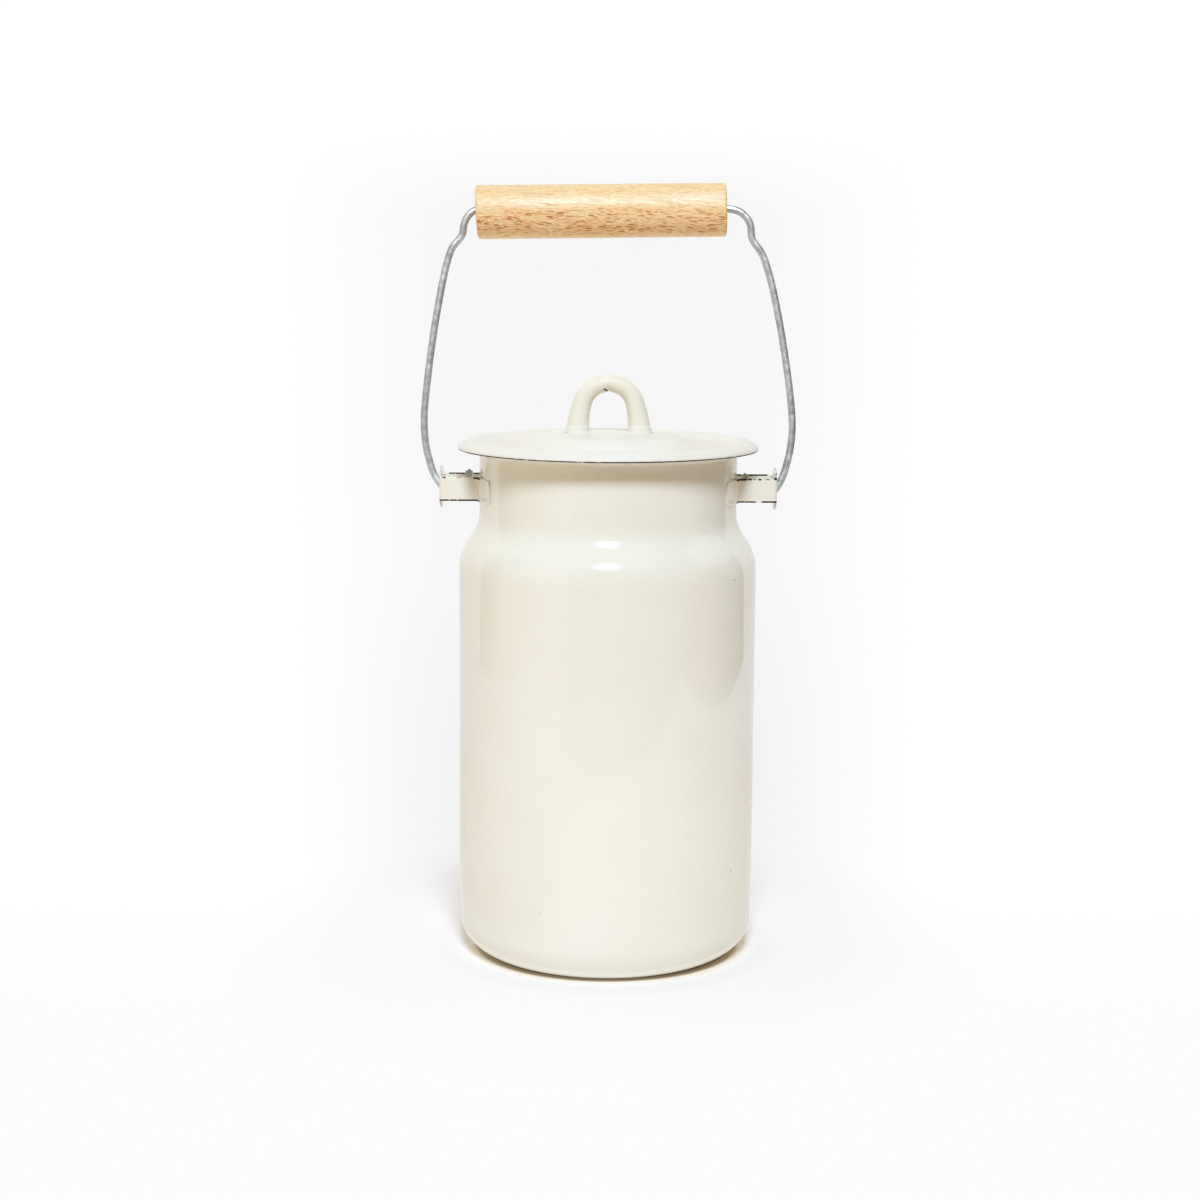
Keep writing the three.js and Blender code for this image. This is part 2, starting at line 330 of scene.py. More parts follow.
# ---------------------------------------------------------------- materials
def enamel_material(name, tone, warm, specks=(), rough_low=0.028, rough_high=0.052, groove=False):
    """Glossy vitreous enamel on steel. A vertex value shows the dark ground coat where the top coat drew back from a
    cut edge, and on the lid's loop a painted tan shade on the face towards the loop's opening. It can also paint a tan
    shade in the lid's groove."""
    mat, nt, bsdf = tree(name)
    p = object_place(nt)
    broad = noise_tex(nt, p, 26, 2)
    fine = noise_tex(nt, p, 620, 2)
    colour = blend(nt, ramp(nt, broad, 0.3, 0.7), tone, warm)
    colour = blend(nt, ramp(nt, fine, 0.35, 0.75, 0.0, 0.10), colour,
                   (tone[0] * 0.86, tone[1] * 0.84, tone[2] * 0.78, 1.0))
    if groove:
        # painted shade: a tan ring in the lid's groove, stronger towards the left and right sides; the loop, above the
        # lid's top, is given a creamier tone
        split = nt.nodes.new("ShaderNodeSeparateXYZ")
        nt.links.new(p, split.inputs[0])
        out_from = vec(nt, "LENGTH", vec(nt, "MULTIPLY", p, (1.0, 1.0, 0.0)))
        ring = calc(nt, "MULTIPLY", ramp(nt, out_from, 0.031, 0.039), ramp(nt, out_from, 0.044, 0.051, 1.0, 0.0))
        across = calc(nt, "DIVIDE", calc(nt, "ABSOLUTE", split.outputs[0]), calc(nt, "MAXIMUM", out_from, 0.001))
        ring = calc(nt, "MULTIPLY", ring, ramp(nt, across, 0.45, 0.95, 0.10, 0.32))
        colour = blend(nt, ramp(nt, split.outputs[2], 0.2130, 0.2150, 0.0, 0.9), colour, linear(243, 238, 221))
        colour = blend(nt, ring, colour, linear(236, 222, 190))
    marks = None
    for (x, y, z), size, dark in specks:
        d = vec(nt, "DISTANCE", p, (x * MM, y * MM, z * MM))
        d = calc(nt, "ADD", d, calc(nt, "MULTIPLY", calc(nt, "SUBTRACT", noise_tex(nt, p, 2600, 1), 0.5), size * MM * 0.9))
        m = ramp(nt, d, size * MM * 0.45, size * MM, dark, 0.0)
        marks = m if marks is None else calc(nt, "MAXIMUM", marks, m)
    if marks is not None:
        colour = blend(nt, marks, colour, linear(92, 74, 52))

    edge = nt.nodes.new("ShaderNodeAttribute")
    edge.attribute_type = "GEOMETRY"
    edge.attribute_name = "bare_and_shade"
    edge = edge.outputs["Fac"]
    ragged = calc(nt, "ADD", edge, calc(nt, "MULTIPLY", calc(nt, "SUBTRACT", noise_tex(nt, p, 1500, 2, 0.6), 0.5), 0.55))
    # tan where the top coat thins towards a cut edge, and a painted shade where the loop's vertex value asks for it
    thin_coat_and_shade = ramp(nt, ragged, 0.20, 0.50, 0.0, 0.55)
    bare_and_shade = ramp(nt, ragged, 0.46, 0.60)
    colour = blend(nt, thin_coat_and_shade, colour, linear(176, 158, 124))
    colour = blend(nt, bare_and_shade, colour, linear(16, 15, 15))
    nt.links.new(colour, bsdf.inputs["Base Color"])

    rough = ramp(nt, noise_tex(nt, p, 90, 3), 0.3, 0.7, rough_low, rough_high)
    rough = calc(nt, "ADD", rough, calc(nt, "MULTIPLY", bare_and_shade, 0.85))
    nt.links.new(rough, bsdf.inputs["Roughness"])
    bsdf.inputs["IOR"].default_value = 1.52

    skin = bump(nt, noise_tex(nt, p, 60, 1), 0.00010, 0.12)
    skin = bump(nt, noise_tex(nt, p, 480, 2), 0.00001, 0.12, skin)
    skin = bump(nt, calc(nt, "SUBTRACT", 1.0, bare_and_shade), 0.00008, 0.6, skin)
    nt.links.new(skin, bsdf.inputs["Normal"])
    return mat


def wire_material():
    """Hot-dipped galvanised wire: dull zinc, mottled, with drawn streaks."""
    mat, nt, bsdf = tree("galvanised_wire")
    p = object_place(nt)
    mottle = noise_tex(nt, p, 420, 3, 0.6)
    patch = noise_tex(nt, p, 130, 2)
    streak = noise_tex(nt, vec(nt, "MULTIPLY", p, (1.0, 1.0, 0.12)), 1500, 2)
    colour = blend(nt, ramp(nt, mottle, 0.3, 0.72), linear(184, 190, 194), linear(214, 219, 222))
    colour = blend(nt, ramp(nt, patch, 0.42, 0.7, 0.0, 0.45), colour, linear(162, 168, 172))
    colour = blend(nt, ramp(nt, streak, 0.5, 0.75, 0.0, 0.25), colour, linear(152, 157, 160))
    nt.links.new(colour, bsdf.inputs["Base Color"])
    nt.links.new(ramp(nt, mottle, 0.25, 0.75, 0.42, 0.56), bsdf.inputs["Roughness"])
    bsdf.inputs["Metallic"].default_value = 0.90
    skin = bump(nt, noise_tex(nt, p, 900, 3, 0.6), 0.00003, 0.45)
    nt.links.new(skin, bsdf.inputs["Normal"])
    return mat


def beech_material():
    """Steamed beech: short dark rays, fine pores, straight fibres, satin lacquer."""
    mat, nt, bsdf = tree("beech")
    p = object_place(nt)
    mapping = nt.nodes.new("ShaderNodeMapping")
    mapping.vector_type = "TEXTURE"
    nt.links.new(p, mapping.inputs["Vector"])
    mapping.inputs["Location"].default_value = [c * MM for c in GRIP_AT]
    mapping.inputs["Rotation"].default_value = (0.0, -GRIP_TILT, 0.0)
    mapping.inputs["Scale"].default_value = (MM, MM, MM)
    place = mapping.outputs[0]
    split = nt.nodes.new("ShaderNodeSeparateXYZ")
    nt.links.new(place, split.inputs[0])
    x, y, z = split.outputs

    # the fibres wander a little and run slightly across the roll
    wander = nt.nodes.new("ShaderNodeTexNoise")
    nt.links.new(vec(nt, "MULTIPLY", place, (0.045, 0.10, 0.10)), wander.inputs["Vector"])
    wander.inputs["Scale"].default_value = 1.0
    wander.inputs["Detail"].default_value = 1.0
    drift = vec(nt, "MULTIPLY", vec(nt, "SUBTRACT", wander.outputs["Color"], (0.5, 0.5, 0.5)), (0.0, 4.0, 4.0))
    slope = nt.nodes.new("ShaderNodeCombineXYZ")
    nt.links.new(calc(nt, "MULTIPLY", x, 0.085), slope.inputs[2])
    grain = vec(nt, "ADD", vec(nt, "ADD", place, drift), slope.outputs[0])

    fibre = noise_tex(nt, vec(nt, "MULTIPLY", grain, (0.07, 2.3, 2.3)), 1.0, 4, 0.62)
    pore = noise_tex(nt, vec(nt, "MULTIPLY", grain, (0.62, 6.0, 6.0)), 1.0, 2, 0.5)
    tone = noise_tex(nt, vec(nt, "MULTIPLY", grain, (0.03, 0.17, 0.17)), 1.0, 2)
    ragged = noise_tex(nt, vec(nt, "MULTIPLY", grain, (1.4, 3.2, 3.2)), 1.0, 2, 0.6)

    def rays(along, across, size_low, size_high, soft, shift):
        v = nt.nodes.new("ShaderNodeTexVoronoi")
        v.feature = "F1"
        at = vec(nt, "ADD", vec(nt, "MULTIPLY", grain, (along, across, across)), shift)
        nt.links.new(at, v.inputs["Vector"])
        v.inputs["Scale"].default_value = 1.0
        pick = nt.nodes.new("ShaderNodeSeparateColor")
        nt.links.new(v.outputs["Color"], pick.inputs[0])
        size = ramp(nt, pick.outputs[0], 0.0, 1.0, size_low, size_high, smooth=False)
        uneven = calc(nt, "MULTIPLY", calc(nt, "SUBTRACT", ragged, 0.5), 0.22)
        inside = calc(nt, "ADD", calc(nt, "SUBTRACT", size, v.outputs["Distance"]), uneven)
        return ramp(nt, inside, 0.0, soft), pick.outputs[1]

    big, big_tone = rays(0.25, 1.55, 0.20, 0.56, 0.13, (0.0, 0.0, 0.0))
    small, small_tone = rays(0.33, 2.20, 0.18, 0.54, 0.15, (3.7, 1.3, 8.1))

    # rays show best where the face is cut flat across them, half way round each side
    flat_cut = calc(nt, "ABSOLUTE", calc(nt, "ADD", z, 4.4))
    shown = ramp(nt, flat_cut, 2.6, 7.2, 1.0, 0.20)

    colour = blend(nt, ramp(nt, tone, 0.35, 0.65), linear(255, 226, 181), linear(253, 219, 168))
    colour = blend(nt, ramp(nt, fibre, 0.44, 0.72, 0.0, 0.62), colour, linear(222, 160, 90))
    colour = blend(nt, ramp(nt, fibre, 0.50, 0.28, 0.0, 0.50), colour, linear(253, 225, 182))
    colour = blend(nt, ramp(nt, pore, 0.56, 0.75, 0.0, 0.30), colour, linear(208, 148, 88))
    flecks = nt.nodes.new("ShaderNodeTexNoise")
    nt.links.new(vec(nt, "MULTIPLY", grain, (0.22, 2.10, 2.10)), flecks.inputs["Vector"])
    flecks.inputs["Scale"].default_value = 1.0
    flecks.inputs["Detail"].default_value = 2.5
    flecks.inputs["Roughness"].default_value = 0.55
    flecks.inputs["Distortion"].default_value = 0.35
    flecks = calc(nt, "MULTIPLY", ramp(nt, flecks.outputs[0], 0.52, 0.63), ramp(nt, shown, 0.2, 1.0, 0.22, 0.60))
    colour = blend(nt, flecks, colour, linear(230, 156, 58))
    dark2 = calc(nt, "MULTIPLY", small, ramp(nt, small_tone, 0.0, 1.0, 0.12, 0.64, smooth=False))
    dark2 = calc(nt, "MULTIPLY", dark2, ramp(nt, shown, 0.0, 1.0, 0.35, 1.0))
    colour = blend(nt, dark2, colour, linear(216, 124, 24))
    dark = calc(nt, "MULTIPLY", big, ramp(nt, big_tone, 0.0, 1.0, 0.20, 1.00, smooth=False))
    dark = calc(nt, "MULTIPLY", dark, shown)
    colour = blend(nt, dark, colour, linear(186, 92, 2))
    nt.links.new(colour, bsdf.inputs["Base Color"])

    rough = ramp(nt, fibre, 0.3, 0.7, 0.29, 0.40)
    rough = calc(nt, "ADD", rough, calc(nt, "MULTIPLY", dark, 0.14))
    nt.links.new(rough, bsdf.inputs["Roughness"])
    bsdf.inputs["IOR"].default_value = 1.5
    bsdf.inputs["Specular IOR Level"].default_value = 0.23
    bsdf.inputs["Specular Tint"].default_value = (0.46, 0.82, 1.0, 1.0)
    skin = bump(nt, fibre, 0.00014, 0.8)
    skin = bump(nt, calc(nt, "SUBTRACT", 1.0, calc(nt, "MAXIMUM", calc(nt, "MAXIMUM", dark, dark2), calc(nt, "MULTIPLY", pore, 0.5))), 0.00008, 0.7, skin)
    nt.links.new(skin, bsdf.inputs["Normal"])
    return mat


BODY_SPECKS = [
    ((-25.83, -54.16, 28.22), 0.42, 0.55),
    ((49.79, -33.48, 39.74), 0.62, 0.50),
    ((-53.01, -28.11, 6.61), 0.42, 0.60),
    ((-2.43, -59.95, 77.3), 0.34, 0.45),
    ((49.36, -34.12, 157.56), 0.62, 0.62),
    ((49.80, -33.45, 156.40), 0.34, 0.45),
    ((21.0, 56.2, 61.0), 0.40, 0.50),
    ((-47.5, 36.7, 118.0), 0.36, 0.45),
]
enamel_can = enamel_material("enamel", linear(243, 239, 227), linear(241, 236, 222), BODY_SPECKS)
enamel_lid = enamel_material("enamel_lid", linear(242, 238, 229), linear(242, 237, 226),
                             rough_low=0.295, rough_high=0.345, groove=True)
galvanised = wire_material()
beech = beech_material()


# ----------------------------------------------------------------- can body
def can_body():
    outer = smooth_line(
        [(0, 1.6), (18, 1.6), (33, 1.6), (36.6, 1.55), (38.9, 1.05), (40.8, 0.28), (42.2, 0.02)], 0.9
    )
    outer += [(43.4, 0.0), (44.8, 0.0), (46.0, 0.0)]
    outer += arc(BODY_R - CORNER_R, CORNER_R, CORNER_R, -90, 0, 36)
    outer += [(BODY_R, z) for z in range(18, 156, 6)]
    outer += smooth_line([(BODY_R, 153.0)] + SHOULDER + [(NECK_R, 185.0)], 0.55)[1:]
    outer += [(NECK_R, z) for z in (188, 192, 196, 200, 202.5, 203.6)]
    wall = offset_line(outer, SHEET)
    # the mouth is curled outwards into a small bead
    bead = arc(BEAD_AT[0], BEAD_AT[1], BEAD_R, -60, 178, 22)
    inner = [q for q in reversed(wall) if q[1] < 203.3]
    inner = [(NECK_R - SHEET, 204.6)] + inner
    inner = [(max(r, 0.0), z) for r, z in inner]
    inner[-1] = (0.0, inner[-1][1])
    verts, faces = turned(outer + bead + inner, 288)
    ob = add_object("can_shell", verts, faces, enamel_can)
    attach(ob, "can")
    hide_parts("can_body")
    return ob


# ---------------------------------------------------------------------- lid
def rim_bareness(angle):
    """How far the top coat has drawn back from the lid's raw edge, by angle."""
    c, s = math.cos(angle), math.sin(angle)
    slow = noise.noise(Vector((c * 3.1, s * 3.1, 0.7)))
    quick = noise.noise(Vector((c * 24, s * 24, 4.2)))
    fast = noise.noise(Vector((c * 70, s * 70, 2.6)))
    return 0.86 + 0.22 * slow + 0.45 * quick + 0.25 * fast


def lid_shell():
    top = smooth_line(LID_TOP, 0.5)
    under = smooth_line(LID_UNDER, 0.6)
    x1, x0 = top[-1][0], under[0][0]
    r = 0.42
    edge = arc(x1 - r, 206.07, r, 0, -90, 7) + arc(x0 + r, 206.07, r, -90, -180, 7)
    near = [(x1, 206.1), (x1, 206.17), (x1, 206.3)]
    profile = list(reversed(under[1:])) + list(reversed(edge)) + near + list(reversed(top[:-1]))
    profile[0] = (0.0, profile[0][1])
    profile[-1] = (0.0, profile[-1][1])
    segments = 720
    verts, faces = turned(profile, segments)
    bare_and_shade = []
    for x, y, z in verts:
        rad = math.hypot(x, y)
        value = 0.0
        if z < 207.3 and rad > 58.4:
            # the cut itself, and a little of the wall above it
            value = smoothstep(206.28, 205.97, z) * max(0.0, rim_bareness(math.atan2(y, x)))
        bare_and_shade.append(value)
    ob = add_object("lid_cap", verts, faces, enamel_lid, bare_and_shade)
    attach(ob, "lid")
    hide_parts("lid_shell")
    return ob


def lid_collar():
    r1, r0, low, high = 49.4, 48.4, 191.0, 205.4
    profile = [(r0 - 0.5, low + 0.15), (r0 - 0.35, low), (r1 - 0.65, low), (r1 - 0.5, low + 0.15)]
    profile += smooth_line([(r1 - 0.5, low + 0.3), (r1 - 0.3, low + 1.1), (r1, low + 2.2), (r1, low + 4)], 0.4)
    profile += [(r1, z) for z in (197, 200, 203.6)]
    profile += arc(r1 - 0.9, high - 0.9, 0.9, 0, 90, 7)
    profile += [(47.5, high), (45.5, high), (43.7, high), (43.5, high - 0.2), (43.5, high - 0.8), (43.7, high - 1.0)]
    profile += [(45.5, high - 1.0), (47.2, high - 1.0), (r0 - 0.5, high - 1.05), (r0 - 0.1, high - 1.3), (r0, high - 1.8)]
    profile += [(r0, z) for z in (202, 199, 196)]
    profile += [(r0, low + 2.4), (r0 - 0.3, low + 1.2), (r0 - 0.5, low + 0.4)]
    verts, faces = turned(profile, 240, closed=True)
    bare_and_shade = []
    for x, y, z in verts:
        a = math.atan2(y, x)
        m = 0.6 + 0.7 * noise.noise(Vector((math.cos(a) * 14, math.sin(a) * 14, 2.2)))
        bare_and_shade.append(max(0.0, min(1.0, 1 - (z - low) / 0.5)) * max(0.0, m))
    ob = add_object("lid_collar_ring", verts, faces, enamel_lid, bare_and_shade)
    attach(ob, "lid")
    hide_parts("lid_collar")
    return ob


LOOP_OUTER = [
    (16.9, 214.0), (16.7, 215.5), (16.3, 217.8), (15.4, 221.3), (14.4, 224.5),
    (13.1, 227.7), (10.7, 231.0), (8.4, 232.9), (5.7, 234.35), (2.9, 235.3), (0, 235.62),
]
LOOP_INNER = [
    (7.95, 214.0), (7.85, 215.5), (7.7, 217.8), (7.3, 221.0), (6.7, 223.8),
    (5.7, 225.8), (4.4, 227.1), (3.3, 227.75), (2.1, 228.15), (1.0, 228.55), (0, 229.05),
]


def lid_loop():
    outer = catmull(LOOP_OUTER, 10)
    inner = catmull(LOOP_INNER, 10)
    half = list(zip(outer, inner))
    stations = [((-o[0], o[1]), (-i[0], i[1])) for o, i in half]
    stations += [(tuple(o), tuple(i)) for o, i in reversed(half[:-1])]
    sides = 72
    verts, bare_and_shade, rings = [], [], []

    def ring(co, ci, grow, level=None):
        cx, cz = (co[0] + ci[0]) / 2, (co[1] + ci[1]) / 2
        nx, nz = co[0] - ci[0], co[1] - ci[1]
        n = math.hypot(nx, nz)
        h = n / 2
        nx, nz = nx / n, nz / n
        row = []
        for k in range(sides):
            a = 2 * math.pi * k / sides
            # the strip is rolled round; its two edges meet on the inner side
            away = abs(math.degrees(math.atan2(math.sin(a - math.pi), math.cos(a - math.pi))))
            slit = 0.85 * max(0.0, 1 - away / 9.0) ** 0.7 if grow == 0 else 0.0
            lip = 0.10 * math.exp(-((away - 13) / 6) ** 2) if grow == 0 else 0.0
            u = (h + grow) * math.cos(a) + slit - lip
            v = (4.55 + grow) * math.sin(a)
            x, z = cx + u * nx, cz + u * nz
            if level is not None:
                z = level
            row.append(len(verts))
            verts.append((x, v, z))
            m = 0.0
            # painted shade: a tan shade on the face of the strip towards the loop's opening, above the feet
            if away < 78:
                m = 0.250 * smoothstep(78, 40, away) * smoothstep(212.9, 214.6, z)
            if grow == 0 and away < 9:
                m = max(m, 0.45 + 0.6 * noise.noise(Vector((x * 0.9, v, z * 0.9))))
            bare_and_shade.append(max(0.0, m))
        rings.append(row)

    feet = [(212.3, 0.86), (212.42, 0.68), (212.6, 0.56), (213.05, 0.46), (213.6, 0.39), (214.1, 0.33),
            (214.45, 0.26), (214.7, 0.17), (214.88, 0.07), (215.0, 0.015)]

    def at_level(side, level):
        t = (level - 214.0) / 8.0
        o = 16.9 - 1.05 * t
        i = 7.95 - 0.35 * t
        return (side * o, level), (side * i, level)

    for level, grow in feet:
        co, ci = at_level(-1, level)
        ring(co, ci, grow, level)
    for co, ci in stations:
        if min(co[1], ci[1]) > 215.2:
            ring(co, ci, 0)
    for level, grow in reversed(feet):
        co, ci = at_level(1, level)
        ring(co, ci, grow, level)
    faces = []
    for a, b in zip(rings, rings[1:]):
        for k in range(sides):
            j = (k + 1) % sides
            faces.append((a[k], a[j], b[j], b[k]))
    faces.append(tuple(rings[0]))
    faces.append(tuple(reversed(rings[-1])))
    # a small chip where the strip's edges part at the crown
    for n, (x, y, z) in enumerate(verts):
        if z > 228 and y < 0:
            t = min(max((x + 1.75) / 1.15, 0), 1)
            cz = 229.75 - 0.75 * t
            d = math.hypot((x + 1.75 - 1.15 * t) * 1.0, z - cz)
            if d < 0.5:
                bare_and_shade[n] = max(bare_and_shade[n], 1.15 * (1 - d / 0.62))
    ob = add_object("lid_handle", verts, faces, enamel_lid, bare_and_shade)
    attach(ob, "lid")
    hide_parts("lid_loop")
    return ob


# --------------------------------------------------------------------- ears
def ear_plan():
    """The strap's middle line seen from above, for the right ear."""
    rf = NECK_R + 0.3 + EAR_SHEET / 2
    on = lambda d: (rf * math.cos(math.radians(d)), rf * math.sin(math.radians(d)))

    def bend(a, c, b, n):
        out = []
        for i in range(n + 1):
            t = i / n
            u = 1 - t
            out.append((u * u * a[0] + 2 * u * t * c[0] + t * t * b[0],
                        u * u * a[1] + 2 * u * t * c[1] + t * t * b[1]))
        return out

    corner = math.sqrt(rf * rf - EAR_LEG_Y**2)
    quarter = [on(EAR_FOOT_END - (EAR_FOOT_END - EAR_FOOT_START) * i / 12) for i in range(12)]
    quarter += bend(on(EAR_FOOT_START), (corner, EAR_LEG_Y), (corner + 2.3, EAR_LEG_Y), 12)
    quarter += bend((EAR_DISC_X - 1.7, EAR_LEG_Y), (EAR_DISC_X, EAR_LEG_Y), (EAR_DISC_X, EAR_LEG_Y - 1.7), 12)
    return quarter + [(x, -y) for x, y in reversed(quarter)]


def ear_outline(half_length):
    """The flat blank: a strap with rounded ends and a round eye plate."""
    h, r, f, rc = EAR_STRAP_W / 2, EAR_DISC_R, 0.8, 1.3
    fs = math.sqrt((r + f) ** 2 - (h + f) ** 2)
    quarter = [(half_length, 0.0), (half_length, h - rc)]
    quarter += arc(half_length - rc, h - rc, rc, 0, 90, 6)[1:]
    quarter += [(fs, h)]
    a1 = math.degrees(math.atan2(-(h + f), -fs))
    quarter += arc(fs, h + f, f, -90, a1, 5)[1:]
    a0 = math.degrees(math.atan2(h + f, fs))
    quarter += arc(0, 0, r, a0, 90, 22)[1:]
    full = quarter + [(-x, y) for x, y in reversed(quarter[:-1])]
    full += [(x, -y) for x, y in reversed(full[1:-1])]
    closed = full + [full[0]]
    return [tuple(q) for q in evenly(closed, 0.38)[:-1]]


def ring_offset(ring, distance):
    """A ring of points moved inwards (a counter-clockwise ring)."""
    out = []
    n = len(ring)
    for i in range(n):
        a, b = ring[i - 1], ring[(i + 1) % n]
        dx, dy = b[0] - a[0], b[1] - a[1]
        m = math.hypot(dx, dy)
        out.append((ring[i][0] - dy / m * distance, ring[i][1] + dx / m * distance))
    return out


BARE_RUNS = {
    # ear side: [(leg, edge, from x, to x, strength)], where the dark ground coat shows
    "left": [
        ("front", "top", 64.9, 66.3, 0.85), ("front", "top", 58.6, 60.9, 0.50), ("front", "top", 50.8, 53.8, 1.55),
        ("back", "top", 57.6, 64.9, 0.95), ("back", "top", 51.0, 54.9, 0.95), ("back", "top", 55.3, 57.2, 0.7),
        ("front", "low", 63.6, 67.6, 1.10), ("front", "low", 60.4, 63.2, 1.20), ("front", "low", 51.2, 60.0, 1.30),
        ("back", "low", 53.0, 58.0, 0.8), ("back", "low", 60.0, 66.0, 0.9),
    ],
    "right": [
        ("front", "top", 50.9, 55.4, 1.7), ("front", "top", 55.6, 57.6, 1.0), ("front", "top", 58.2, 59.0, 0.8),
        ("front", "top", 59.9, 61.3, 1.0), ("front", "top", 62.2, 64.6, 0.62), ("front", "top", 66.2, 68.4, 0.9),
        ("back", "top", 51.0, 54.2, 1.15), ("back", "top", 56.3, 64.9, 1.2),
        ("front", "low", 51.2, 54.6, 1.15), ("front", "low", 54.9, 59.2, 1.10), ("front", "low", 61.6, 67.6, 1.25),
        ("back", "low", 52.0, 57.0, 0.9), ("back", "low", 59.0, 64.0, 0.8),
    ],
}


def ear(side):
    name = "right" if side > 0 else "left"
    plan = ear_plan()
    along = lengths(plan)
    half = along[-1] / 2
    fine = evenly(plan, 0.1)
    fine_along = lengths(fine)

    def place(s, t, h):
        q = at_length(fine, fine_along, half - s)
        a = at_length(fine, fine_along, half - s - 0.25)
        b = at_length(fine, fine_along, half - s + 0.25)
        dx, dy = b[0] - a[0], b[1] - a[1]
        n = math.hypot(dx, dy)
        nx, ny = -dy / n, dx / n  # away from the can
        # the feet are pressed down and sunk into the enamel of the neck
        foot = smoothstep(half - 10.2, half - 7.6, abs(s))
        h -= (0.60 if h > 0 else 0.36) * foot
        x, y = q[0] + nx * h, q[1] + ny * h
        return (side * x, side * y, EAR_DISC_Z + t)

    outline = ear_outline(half)
    hole_at = PIVOT_Z - EAR_DISC_Z
    count = 64
    hole = [
        (EAR_HOLE_R * math.cos(-2 * math.pi * k / count), hole_at + EAR_HOLE_R * math.sin(-2 * math.pi * k / count))
        for k in range(count)
    ]
    t2, rr = EAR_SHEET / 2, 0.26
    steps = [(0.0, t2 - rr), (0.03, t2 - rr + 0.12), (0.10, t2 - 0.055), (0.26, t2), (0.60, t2), (0.95, t2)]
    weight = [1.0, 1.0, 0.95, 0.80, 0.40, 0.0]
    verts, bare_and_shade, faces = [], [], []

    def strength(q, which):
        x, y, z = q
        base = 0.25 + 0.5 * noise.noise(Vector((x * 0.55, y * 0.55, z * 0.55)))
        if which == "hole":
            return max(0.0, 0.45 + 0.8 * noise.noise(Vector((x, y * 0.7, z * 0.7))))
        if abs(z - EAR_DISC_Z) > EAR_STRAP_W / 2 + 0.25:
            return max(0.0, 0.38 + 0.5 * noise.noise(Vector((x, y * 0.5, z * 0.5))))
        leg = "front" if y < -5.0 else "back" if y > 5.0 else ""
        edge = "top" if z > EAR_DISC_Z else "low"
        value = base
        if leg and abs(z - EAR_DISC_Z) > EAR_STRAP_W / 2 - 1.0:
            value = 0.05
            for on_leg, on_edge, x0, x1, power in BARE_RUNS[name]:
                if on_leg == leg and on_edge == edge:
                    inside = min(abs(x) - x0, x1 - abs(x))
                    if inside > -0.35:
                        grain = 0.14 * noise.noise(Vector((x * 1.9, y, z)))
                        gain = 1.14 if edge == "low" else 0.96
                        value = max(value, gain * power * smoothstep(-0.35, 0.25, inside) + grain)
        if abs(x) < 51.0:
            value = 0.0
        return max(0.0, value)

    def add(s, t, h, w, which):
        q = place(s, t, h)
        verts.append(q)
        bare_and_shade.append(w * strength(q, which) if w else 0.0)
        return len(verts) - 1

    def band(ring, which):
        """The rounded cut edge, from the outer face round to the inner face."""
        rows = []
        for sign in (1, -1):
            levels = list(zip(steps, weight))
            if sign > 0:
                levels = levels[::-1]
            for (d, h), w in levels:
                moved = ring_offset(ring, d)
                rows.append([add(s, t, sign * h, w, which) for s, t in moved])
        for a, b in zip(rows, rows[1:]):
            n = len(a)
            for i in range(n):
                j = (i + 1) % n
                faces.append((a[i], a[j], b[j], b[i]))
        return rows[0], rows[-1], ring_offset(ring, steps[-1][0])

    out_top, out_low, out_ring = band(outline, "outline")
    hole_top, hole_low, hole_ring = band(hole, "hole")

    # the two faces between the bands
    points = [Vector(q) for q in out_ring + hole_ring]
    n_out, n_hole = len(out_ring), len(hole_ring)
    edges = [(i, (i + 1) % n_out) for i in range(n_out)]
    edges += [(n_out + i, n_out + (i + 1) % n_hole) for i in range(n_hole)]

    def inside(s, t, margin):
        if math.hypot(s, t - hole_at) < EAR_HOLE_R + 0.95 + margin:
            return False
        if abs(s) < half - 0.95 - margin and abs(t) < EAR_STRAP_W / 2 - 0.95 - margin:
            return True
        return math.hypot(s, t) < EAR_DISC_R - 0.95 - margin

    s = -half + 0.9
    while s < half - 0.8:
        for k in range(-8, 9):
            t = k * 0.95
            if inside(s, t, 0.3):
                points.append(Vector((s, t)))
        s += 0.5
    made = geometry.delaunay_2d_cdt(points, edges, [], 0, 1e-5)
    coords, tris, origin = made[0], made[2], made[3]
    known = {}
    for new, olds in enumerate(origin):
        for old in olds:
            known.setdefault(new, old)
    for sign, out_loop, hole_loop in ((1, out_top, hole_top), (-1, out_low, hole_low)):
        index = {}
        for new, (s, t) in enumerate(coords):
            old = known.get(new, len(points))
            if old < n_out:
                index[new] = out_loop[old]
            elif old < n_out + n_hole:
                index[new] = hole_loop[old - n_out]
            else:
                index[new] = None
        for tri in tris:
            cs = sum(coords[i][0] for i in tri) / 3
            ct = sum(coords[i][1] for i in tri) / 3
            in_hole = math.hypot(cs, ct - hole_at) < EAR_HOLE_R + 0.95 - 0.01
            in_shape = inside(cs, ct, -0.012) or _in_ring(cs, ct, out_ring)
            if in_hole or not in_shape:
                continue
            ids = []
            for i in tri:
                if index[i] is None:
                    index[i] = add(coords[i][0], coords[i][1], sign * t2, 0.0, "")
                ids.append(index[i])
            faces.append(tuple(ids if sign > 0 else reversed(ids)))
    ob = add_object("ear_pressing_" + name, verts, faces, enamel_can, bare_and_shade)
    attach(ob, "can")
    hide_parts("ear_" + name)
    return ob


def _in_ring(x, y, ring):
    odd = False
    n = len(ring)
    for i in range(n):
        x0, y0 = ring[i]
        x1, y1 = ring[(i + 1) % n]
        if (y0 > y) != (y1 > y) and x < (x1 - x0) * (y - y0) / (y1 - y0) + x0:
            odd = not odd
    return odd


